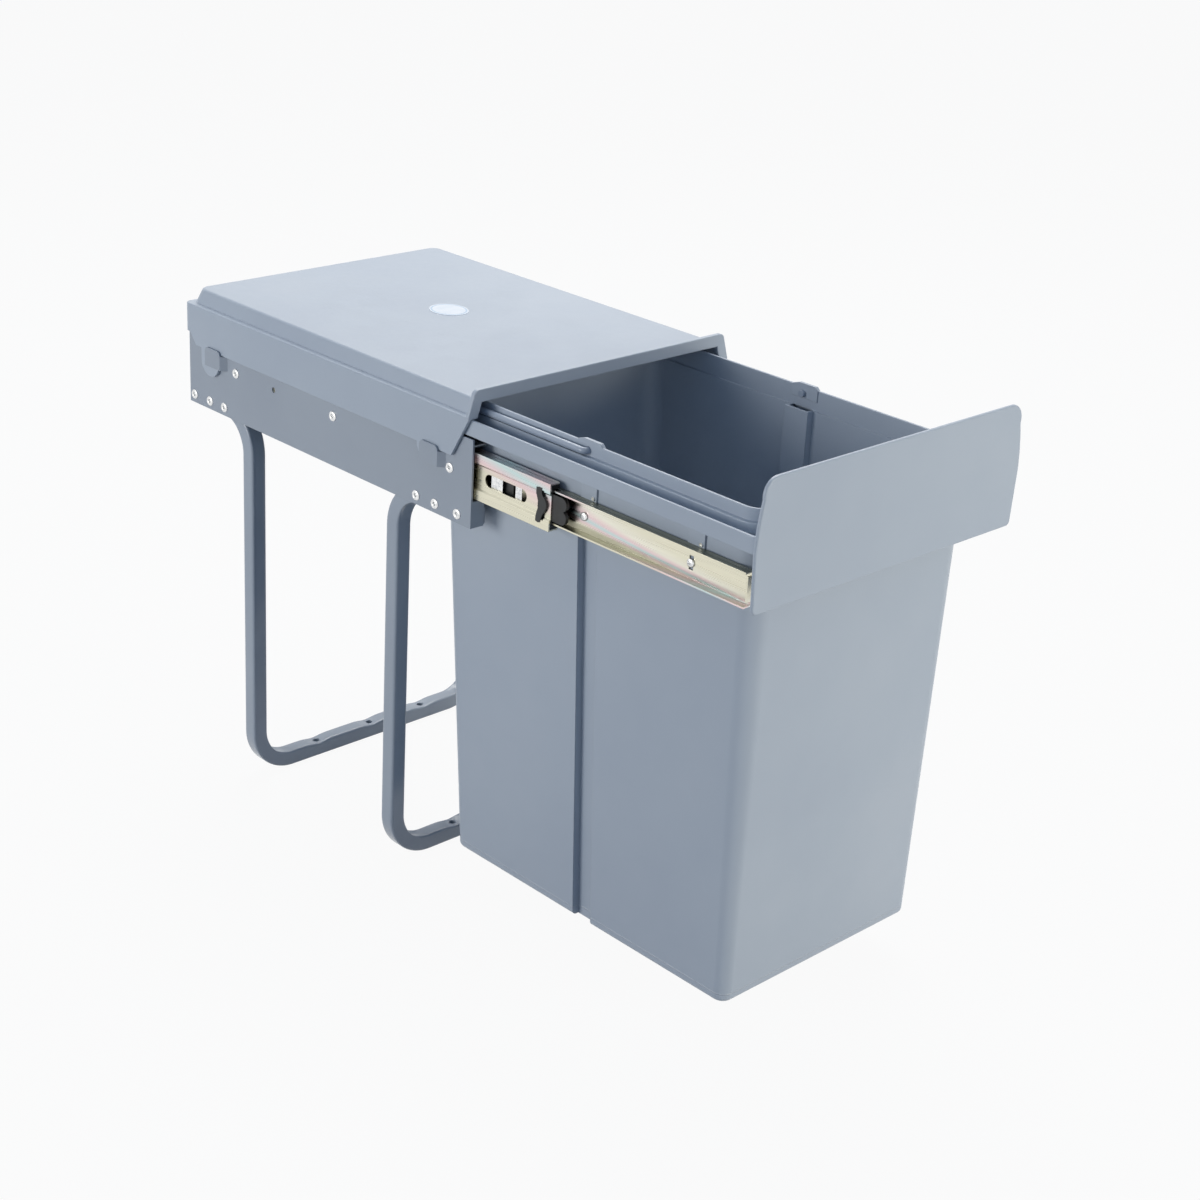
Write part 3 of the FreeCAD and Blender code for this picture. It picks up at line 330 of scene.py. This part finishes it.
finishOf = {
    "painted_steel": powderCoatedSteel("powderCoatedSteel", *steel["plate"]),
    "painted_wire": powderCoatedSteel("powderCoatedWire", *steel["wire"]),
    "grey_plastic": mouldedPolypropylene(), "zinc_steel": passivatedZinc(), "rivet_steel": rivetSteel,
    "ball_steel": polishedBallSteel(), "black_plastic": blackPlastic, "badge_plastic": domedLabel(),
}


def dress(node, mat):
    # give a CAD piece its finish
    slots = nodes[node].data.materials
    if not slots:
        slots.append(mat)
    for i in range(len(slots)):
        slots[i] = mat


for part in frame["record"]["subparts"]:
    dress(part["node"], finishOf[part["material_slot"]])
# the outer and inner rails take the zinc with painted shade on their flanges
for side in ("left", "right"):
    for rail in ("outer_rail", "inner_rail"):
        dress(side + "_" + rail, railSteelWithPaintedShade)
dress("container", partingLine(mouldedPolypropylene("mouldedContainerPolypropylene"), "container"))


def islandBoxes(node):
    # lowest and highest corner of each separate solid of a CAD piece
    work = bmesh.new()
    work.from_mesh(nodes[node].data)
    bmesh.ops.remove_doubles(work, verts=work.verts, dist=1e-6)
    seen, found = set(), []
    for first in work.verts:
        if first in seen:
            continue
        seen.add(first)
        stack, group = [first], []
        while stack:
            vert = stack.pop()
            group.append(vert.co.copy())
            for edge in vert.link_edges:
                other = edge.other_vert(vert)
                if other not in seen:
                    seen.add(other)
                    stack.append(other)
        low = Vector([min(co[i] for co in group) for i in range(3)])
        high = Vector([max(co[i] for co in group) for i in range(3)])
        found.append((low, high))
    work.free()
    return found


def addPiece(name, work, mat, body, replaced=(), smooth=True):
    # turns mesh code into a piece that rides on its body
    mesh = bpy.data.meshes.new(name)
    bmesh.ops.recalc_face_normals(work, faces=work.faces)
    for face in work.faces:
        face.smooth = smooth
    work.to_mesh(mesh)
    work.free()
    mesh.materials.append(mat)
    obj = bpy.data.objects.new(name, mesh)
    bpy.context.scene.collection.objects.link(obj)
    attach(obj, body)
    if replaced:
        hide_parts(*replaced)
    return obj


def lathe(work, profile, centre, axis, steps=40):
    # turns a profile of (radius, height) pairs about an axis, closed at both ends
    turn = Vector((0, 0, 1)).rotation_difference(Vector(axis)).to_matrix()
    rings = []
    for r, h in profile:
        ring = []
        for i in range(steps):
            a = 2 * math.pi * i / steps
            ring.append(work.verts.new(turn @ Vector((r * math.cos(a), r * math.sin(a), h)) + centre))
        rings.append(ring)
    for low, high in zip(rings, rings[1:]):
        for i in range(steps):
            j = (i + 1) % steps
            work.faces.new((low[i], low[j], high[j], high[i]))
    work.faces.new(list(reversed(rings[0])))
    work.faces.new(rings[-1])


def arcProfile(centre, r, start, end, steps=6):
    # points on an arc of a profile, angles in degrees
    points = []
    for i in range(steps + 1):
        a = math.radians(start + (end - start) * i / steps)
        points.append((centre[0] + r * math.cos(a), centre[1] + r * math.sin(a)))
    return points


def cutBy(obj, work):
    # takes a mesh out of a piece and keeps the result as plain mesh
    cutter = bpy.data.meshes.new("cutter")
    bmesh.ops.recalc_face_normals(work, faces=work.faces)
    work.to_mesh(cutter)
    work.free()
    tool = bpy.data.objects.new("cutter", cutter)
    bpy.context.scene.collection.objects.link(tool)
    step = obj.modifiers.new("cut", "BOOLEAN")
    step.operation = "DIFFERENCE"
    step.solver = "EXACT"
    step.object = tool
    graph = bpy.context.evaluated_depsgraph_get()
    done = bpy.data.meshes.new_from_object(obj.evaluated_get(graph))
    obj.modifiers.clear()
    obj.data = done
    bpy.data.objects.remove(tool)


def addPrism(work, outline, centre, across, upward, depthAway, depthIn):
    # a prism on a closed outline, from depthAway outward to depthIn inward along across x upward
    normal = across.cross(upward)
    rings = []
    for depth in (-depthIn, depthAway):
        rings.append([work.verts.new(centre + across * u + upward * v + normal * depth) for u, v in outline])
    count = len(outline)
    for i in range(count):
        j = (i + 1) % count
        work.faces.new((rings[0][i], rings[0][j], rings[1][j], rings[1][i]))
    work.faces.new(list(reversed(rings[0])))
    work.faces.new(rings[1])


# tubular rivets: a rolled head with a hollow middle, and a set tail at the other end, in millimetres
rivetHead = {
    "bore": 1.3, "boreEnd": 1.17, "boreDepth": 3.0, "rollR": 0.62, "rollFoot": 0.992, "edgeR": 1.1,
    "skirt": 0.1, "shankR": 2.4, "tailR": 3.2, "tailRise": 0.6, "tailRim": 0.25,
}


def rolledRivets(node, name):
    work = bmesh.new()
    boxes = islandBoxes(node)
    headR = max(high.z - low.z for low, high in boxes) / 2 / mm
    r, bore, deep, edgeR = (rivetHead[key] for key in ("rollR", "bore", "boreDepth", "edgeR"))
    shankR, tailR = rivetHead["shankR"], rivetHead["tailR"]
    for low, high in boxes:
        left = low.x < 0
        length = (high.x - low.x) / mm
        centre = Vector((low.x if left else high.x, (low.y + high.y) / 2, (low.z + high.z) / 2))
        # heights run outward from the head's outer plane
        profile = [(rivetHead["boreEnd"], -deep), (bore, -deep), (bore, -rivetHead["rollFoot"])]
        profile += arcProfile((bore + r, -r), r, 180, 90)
        profile += arcProfile((headR - edgeR, -edgeR), edgeR, 90, 12)
        profile += [(headR, -edgeR - rivetHead["skirt"]), (shankR, -edgeR - rivetHead["skirt"])]
        profile += [(shankR, -length + rivetHead["tailRise"]), (tailR, -length + rivetHead["tailRim"])]
        profile += [(tailR, -length), (bore, -length)]
        lathe(work, [(a * mm, b * mm) for a, b in profile], centre, (-1 if left else 1, 0, 0))
    addPiece(name, work, rivetSteel, "frame", (node,))


rolledRivets("leg_rivets", "legRivetHeads")
rolledRivets("rail_rivets", "railRivetHeads")
print("rivets turned")


# bent tube legs: the inner wall sinks in the bends, with a ripple, and round each bolt hole, as a press
# leaves it, in millimetres; sinkFrom, ripple and dentAcross are shares
tube = {
    "size": 13.5, "corner": 1.8, "wall": 1.2, "bend": 34.0, "pocket": 16.0, "step": 3.0, "bendSteps": 22,
    "sink": 3.6, "sinkFrom": 0.55, "ripple": 0.6, "dent": 2.0, "dentR": 8.0, "dentAcross": 0.6,
    "holePitch": 58.5, "holeR": 2.75,
}


def squareSection(size, corner, arcSteps=4, flatSteps=5):
    # a rounded square about the tube's middle line
    h = size / 2
    points = []
    for turn, (cx, cy) in enumerate(((h - corner, h - corner), (corner - h, h - corner),
                                     (corner - h, corner - h), (h - corner, corner - h))):
        for i in range(arcSteps + 1):
            a = math.radians(90 * turn + 90 * i / arcSteps)
            points.append((cx + corner * math.cos(a), cy + corner * math.sin(a)))
        # a few points on each flat side, so that it can sink
        nextX, nextY = ((corner - h, h), (-h, corner - h), (h - corner, -h), (h, h - corner))[turn]
        x, y = points[-1]
        for i in range(1, flatSteps):
            points.append((x + (nextX - x) * i / flatSteps, y + (nextY - y) * i / flatSteps))
    return points


def tubeStations(low, high, arm):
    # places and directions along one leg; arm is +1 where its arms run to the back
    h, bend = tube["size"] / 2, tube["bend"]
    x, z = high.x / mm - h, high.z / mm - h
    row, end = (low.y / mm + h, high.y / mm) if arm > 0 else (high.y / mm - h, low.y / mm)
    place = Vector((-x, end, z))
    ahead, first, second = Vector((0, -arm, 0)), Vector((1, 0, 0)), Vector((0, 0, 1))
    stations = [(place.copy(), first.copy(), second.copy(), Vector(), 0.0)]

    def straight(length):
        nonlocal place
        steps = max(2, round(length / tube["step"]))
        for _ in range(steps):
            place = place + ahead * (length / steps)
            stations.append((place.copy(), first.copy(), second.copy(), Vector(), 0.0))

    def bendRound(axis):
        nonlocal place, ahead, first, second
        middle = place + axis.cross(ahead) * bend
        count = tube["bendSteps"]
        step = Matrix.Rotation(math.radians(90 / count), 3, axis)
        for i in range(count):
            place = middle + step @ (place - middle)
            ahead, first, second = step @ ahead, step @ first, step @ second
            inward = (middle - place).normalized()
            part = (i + 1) / count
            ripple = 1 - tube["ripple"] * (1 - math.cos(4 * math.pi * part)) / 2
            sink = math.sin(math.pi * part) ** 2 * ripple * tube["sink"]
            stations.append((place.copy(), first.copy(), second.copy(), inward, sink))

    armLength = abs(end - row) - bend
    upright = z - bend - (h + bend)
    straight(armLength)
    bendRound(Vector((arm, 0, 0)))
    straight(upright)
    bendRound(Vector((0, -1, 0)))
    straight(2 * (x - bend))
    bendRound(Vector((0, -1, 0)))
    straight(upright)
    bendRound(Vector((-arm, 0, 0)))
    straight(armLength)
    return stations, row


def bentLeg(node, name, arm):
    low, high = (Vector(c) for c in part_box(node))
    stations, row = tubeStations(low, high, arm)
    section = squareSection(tube["size"], tube["corner"])
    inner = squareSection(tube["size"] - 2 * tube["wall"], tube["corner"] - tube["wall"])
    h, sinkFrom = tube["size"] / 2, tube["sinkFrom"]
    work = bmesh.new()

    def ringAt(station, outline):
        place, first, second, inward, sink = station
        ring = []
        for u, v in outline:
            out = first * u + second * v
            co = place + out
            if sink:
                depth = max(0.0, out.dot(inward) / h - sinkFrom) / (1 - sinkFrom)
                sideways = inward.cross(first.cross(second))
                flat = 1 - min(1.0, (abs(out.dot(sideways)) / h)) ** 3
                co = co + inward * (-sink * min(1.0, depth) * flat)
            if abs(place.z - h) < 0.01:
                # the cross run dips round each bolt hole, most at its top
                share = max(0.0, 2 * co.z / tube["size"] - 1)
                for k in (-1, 0, 1):
                    far = math.hypot(co.x - k * tube["holePitch"], (co.y - row) * tube["dentAcross"])
                    co.z -= tube["dent"] * share * math.exp(-(far / tube["dentR"]) ** 2)
            co.z = max(co.z, low.z / mm)
            ring.append(work.verts.new(co * mm))
        return ring

    def join(a, b):
        count = len(a)
        for i in range(count):
            j = (i + 1) % count
            work.faces.new((a[i], a[j], b[j], b[i]))

    rings = [ringAt(station, section) for station in stations]
    for a, b in zip(rings, rings[1:]):
        join(a, b)
    # open tube ends: a short pocket inside each arm
    deep = round(tube["pocket"] / tube["step"])
    for edge, inside in ((0, deep), (-1, -1 - deep)):
        mouth = ringAt(stations[edge], inner)
        floor = ringAt(stations[inside], inner)
        join(mouth, rings[edge])
        join(floor, mouth)
        work.faces.new(floor)
    obj = addPiece(name, work, coatedTube, "frame", (node,))
    # bolt holes through both walls, with 2 mm to spare at each end
    holes = bmesh.new()
    for k in (-1, 0, 1):
        r = tube["holeR"] * mm
        centre = Vector((k * tube["holePitch"] * mm, row * mm, -2 * mm))
        lathe(holes, [(r, 0), (r, (tube["size"] + 4) * mm)], centre, (0, 0, 1), 32)
    cutBy(obj, holes)


bentLeg("rear_leg", "rearLegTube", 1)
bentLeg("front_leg", "frontLegTube", -1)
print("legs bent")


# pan-head screws with a cross recess, in millimetres; curve is in shares of the head's radius and of its dome
screwHead = {
    "dome": 0.7, "curve": ((0.45, 0.12), (0.75, 0.45), (0.93, 0.95), (1.0, 1.5)), "flat": 0.2,
    "under": 1.55, "neck": 1.6, "shank": 0.52, "point": 0.6, "pointLong": 0.5,
    "recessWide": 0.75, "recessLong": 3.4, "recessDeep": 1.0, "turn": 25,
}


def crossScrews(node, name, axis):
    # heads look along axis; on the two sides of the middle they are mirrored when axis is x
    work = bmesh.new()
    slots = bmesh.new()
    wide, long, deep = (screwHead[key] * mm for key in ("recessWide", "recessLong", "recessDeep"))
    w, l = wide / 2, long / 2
    cross = [(l, -w), (l, w), (w, w), (w, l), (-w, l), (-w, w),
             (-l, w), (-l, -w), (-w, -w), (-w, -l), (w, -l), (w, -w)]
    for low, high in islandBoxes(node):
        middle = (low + high) / 2
        if axis == "x":
            left = middle.x < 0
            face = Vector((-1 if left else 1, 0, 0))
            top = Vector((low.x if left else high.x, middle.y, middle.z))
            length, across = high.x - low.x, Vector((0, 1, 0))
        else:
            face = Vector((0, 1, 0))
            top = Vector((middle.x, high.y, middle.z))
            length, across = high.y - low.y, Vector((1, 0, 0))
        r, dome = (high.z - low.z) / 2, screwHead["dome"] * mm
        shank = r * screwHead["shank"]
        profile = [(screwHead["flat"] * mm, 0)]
        profile += [(r * a, -dome * b) for a, b in screwHead["curve"]]
        profile += [(r, -screwHead["under"] * mm), (shank, -screwHead["neck"] * mm)]
        profile += [(shank, -length + screwHead["pointLong"] * mm), (shank * screwHead["point"], -length)]
        lathe(work, list(reversed(profile)), top, face)
        turn = Matrix.Rotation(math.radians(screwHead["turn"]), 3, face)
        addPrism(slots, cross, top, turn @ across, turn @ Vector((0, 0, 1)), deep, deep)
    obj = addPiece(name, work, rivetSteel, "drawer", (node,), smooth=False)
    cutBy(obj, slots)


crossScrews("rail_screws", "railScrewHeads", "x")
crossScrews("panel_screws", "panelScrewHeads", "y")
print("screws turned")


def outerFace(side):
    # front end, outer face and middle height of a middle rail, in metres; side is -1 on the left
    low, high = (Vector(c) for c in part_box("left_mid_rail" if side < 0 else "right_mid_rail"))
    return Vector((low.x if side < 0 else high.x, low.y, (low.z + high.z) / 2))


# the ball cage's web, which shows through the slot of the middle rail, in millimetres: railDepth is from the
# rail's outer bands to the back of its web, places along the slide are from the slot's middle
cageWeb = {
    "railDepth": 2.5, "gap": 0.15, "thick": 0.3, "high": 11.0, "slotCentre": 47.0,
    "front": -15.6, "back": 16.6, "windowFront": -9.0, "windowBack": 4.7, "windowHalf": 5.6,
}


def retainerWeb(side):
    # four strips of thin plate round a square window, just behind the middle rail's web
    origin = outerFace(side) / mm
    near = origin.x - side * (cageWeb["railDepth"] + cageWeb["gap"])
    y0, y1, w0, w1 = (origin.y + cageWeb["slotCentre"] + cageWeb[key]
                      for key in ("front", "back", "windowFront", "windowBack"))
    high, half = cageWeb["high"], cageWeb["windowHalf"]
    work = bmesh.new()
    strips = ((y0, w0, -high, high), (w1, y1, -high, high), (w0, w1, half, high), (w0, w1, -high, -half))
    depths = (cageWeb["thick"] * mm, 0) if side < 0 else (0, cageWeb["thick"] * mm)
    for a, b, c, d in strips:
        strip = [(a * mm, c * mm), (b * mm, c * mm), (b * mm, d * mm), (a * mm, d * mm)]
        addPrism(work, strip, Vector((near, 0, origin.z)) * mm, Vector((0, 1, 0)), Vector((0, 0, 1)), *depths)
    return work


for side, name in ((-1, "leftRetainerWeb"), (1, "rightRetainerWeb")):
    addPiece(name, retainerWeb(side), rivetSteel, "inner_cages", smooth=False)


# the bumper's clip, which comes through the cut-out and over both bands of the middle rail, in millimetres;
# the outline is in pairs of (along the slide, up)
clip = {"proud": 0.3, "deep": 1.9, "round": 0.18, "outline": (
    (13.9, 12.0), (13.9, 7.6), (12.5, 4.6), (11.0, 1.4), (11.0, -2.0), (12.6, -6.0), (13.5, -9.8),
    (13.8, -13.0), (11.2, -13.7), (8.8, -13.0), (8.3, -10.2), (6.8, -6.6), (4.6, -3.8), (2.9, -0.4),
    (2.8, 1.7), (3.6, 3.7), (5.4, 5.6), (7.7, 7.4), (8.2, 9.0), (8.0, 12.6), (10.8, 12.7))}


def bumperClip(side):
    # a wavy black tongue, a little proud of the rail's bands
    work = bmesh.new()
    outline = [(y * mm, z * mm) for y, z in clip["outline"]]
    # along x upward looks to +x, so the two sides swap which depth is outside
    out, deep = clip["proud"] * mm, clip["deep"] * mm
    depths = (deep, out) if side < 0 else (out, deep)
    addPrism(work, outline, outerFace(side), Vector((0, 1, 0)), Vector((0, 0, 1)), *depths)
    edges = [e for e in work.edges if abs(e.verts[0].co.x - e.verts[1].co.x) < 1e-7]
    bmesh.ops.bevel(work, geom=edges, offset=clip["round"] * mm, segments=2, affect="EDGES")
    return work


for side, name in ((-1, "leftBumperClip"), (1, "rightBumperClip")):
    addPiece(name, bumperClip(side), blackPlastic, "mid_rails", smooth=False)
print("slide details made")


# the studio: floorShown and airShown say how near to white the floor and the air are to the camera and in
# reflections; the floor's half width is in metres, its mottle and its drop below the feet in millimetres
room = {
    "floor": "#a3a8ad", "floorShade": "#9fa4aa", "mottle": 333.3, "size": 12.0, "drop": 0.2,
    "light": (0.64, 0.90, 1.32, 1), "strength": 0.23, "floorShown": 0.94, "airShown": 0.96,
}


def seenDirectly(tree):
    # 1 for the camera's own rays and those in reflections or through glass, 0 for light that spreads
    ray = addNode(tree, "ShaderNodeLightPath")
    direct = addNode(tree, "ShaderNodeMath", {"operation": "MAXIMUM"},
                     {0: (ray, "Is Camera Ray"), 1: (ray, "Is Glossy Ray")})
    return addNode(tree, "ShaderNodeMath", {"operation": "MAXIMUM"},
                   {0: direct, 1: (ray, "Is Transmission Ray")})


def paleFloor():
    # matt painted studio floor, grey for the light that it gives back
    mat, tree, shader = newMaterial("paleStudioFloor", {"Roughness": 0.9})
    place = addNode(tree, "ShaderNodeTexCoord")
    mottle = addNode(tree, "ShaderNodeTexNoise", {"Scale": 1000 / room["mottle"]},
                     {"Vector": (place, "Object")})
    tint = addNode(tree, "ShaderNodeValToRGB", {"stops": ((0.3, room["floorShade"]), (0.7, room["floor"]))},
                   {"Fac": mottle})
    tree.links.new(tint.outputs["Color"], shader.inputs["Base Color"])
    share = addNode(tree, "ShaderNodeMath", {"operation": "MULTIPLY", 1: room["floorShown"]},
                    {0: seenDirectly(tree)})
    white = addNode(tree, "ShaderNodeEmission", {"Color": (1, 1, 1, 1), "Strength": 1.0})
    out = [n for n in tree.nodes if n.type == "OUTPUT_MATERIAL"][0]
    mix = addNode(tree, "ShaderNodeMixShader", None, {0: share, 1: shader, 2: white})
    tree.links.new(mix.outputs[0], out.inputs["Surface"])
    return mat


def floorPlane():
    # a wide floor, a hair below the object's feet
    grid = bmesh.new()
    s = room["size"]
    corners = [(-s, -s), (s, -s), (s, s), (-s, s)]
    grid.faces.new([grid.verts.new((x, y, -room["drop"] * mm)) for x, y in corners])
    mesh = bpy.data.meshes.new("studioFloor")
    grid.to_mesh(mesh)
    grid.free()
    obj = bpy.data.objects.new("studioFloor", mesh)
    bpy.context.scene.collection.objects.link(obj)
    mesh.materials.append(paleFloor())


def softWorld():
    # even bluish light from all round, and plain near white where the camera or a reflection sees it
    world = bpy.data.worlds.new("studioRoom")
    bpy.context.scene.world = world
    world.use_nodes = True
    tree = world.node_tree
    tree.nodes.clear()
    light = addNode(tree, "ShaderNodeBackground", {"Color": room["light"], "Strength": room["strength"]})
    plain = addNode(tree, "ShaderNodeBackground", {"Color": (1, 1, 1, 1), "Strength": room["airShown"]})
    mix = addNode(tree, "ShaderNodeMixShader", None, {0: seenDirectly(tree), 1: light, 2: plain})
    addNode(tree, "ShaderNodeOutputWorld", None, {"Surface": mix})


floorPlane()
softWorld()


# large lamps, in metres and watts, all aimed at the object's middle
lamps = {
    "overheadBox": {"place": (0.8, 0.6, 2.0), "size": (1.5, 1.5), "power": 42, "colour": (1, 0.965, 0.91)},
    "frontBox": {"place": (0.45, -2.4, 0.55), "size": (0.9, 0.8), "power": 28.5, "colour": (1, 0.945, 0.83)},
    "leftBox": {"place": (-2.25, 0.6, 0.7), "size": (1.0, 0.9), "power": 26, "colour": (1, 0.975, 0.93)},
}
middle = Vector((0, -0.15, 0.25))


def softBox(name, place, size, power, colour):
    # one large studio lamp aimed at the object
    lamp = bpy.data.lights.new(name, "AREA")
    lamp.shape = "RECTANGLE"
    lamp.size, lamp.size_y = size
    lamp.energy = power
    lamp.color = colour
    obj = bpy.data.objects.new(name, lamp)
    bpy.context.scene.collection.objects.link(obj)
    obj.location = place
    obj.rotation_euler = (Vector(place) - middle).to_track_quat("Z", "Y").to_euler()


for name, lamp in lamps.items():
    softBox(name, **lamp)


# solved from the photograph's straight edges, in metres, degrees, pixels, and millimetres for the sensor
view = {"place": (-1.09436, -1.28234, 0.89686), "yaw": -45.04, "pitch": 23.34, "roll": 3.46,
        "focalPixels": 2186.1, "photoPixels": 1200, "sensor": 36.0, "farthest": 50.0}


def photoCamera():
    cam = bpy.data.cameras.new("photoCamera")
    cam.sensor_fit = "HORIZONTAL"
    cam.sensor_width = view["sensor"]
    cam.lens = view["sensor"] * view["focalPixels"] / view["photoPixels"]
    cam.clip_end = view["farthest"]
    obj = bpy.data.objects.new("photoCamera", cam)
    bpy.context.scene.collection.objects.link(obj)
    a, e, r = (math.radians(view[k]) for k in ("yaw", "pitch", "roll"))
    back = Vector((math.sin(a) * math.cos(e), -math.cos(a) * math.cos(e), math.sin(e)))
    right = Vector((math.cos(a), math.sin(a), 0))
    up = back.cross(right)
    across = math.cos(r) * right + math.sin(r) * up
    upward = -math.sin(r) * right + math.cos(r) * up
    turn = Matrix((across, upward, back)).transposed()
    obj.matrix_world = Matrix.Translation(view["place"]) @ turn.to_4x4()
    bpy.context.scene.camera = obj


photoCamera()
bpy.context.scene.view_settings.view_transform = "Standard"
print("room, lamps and camera set")
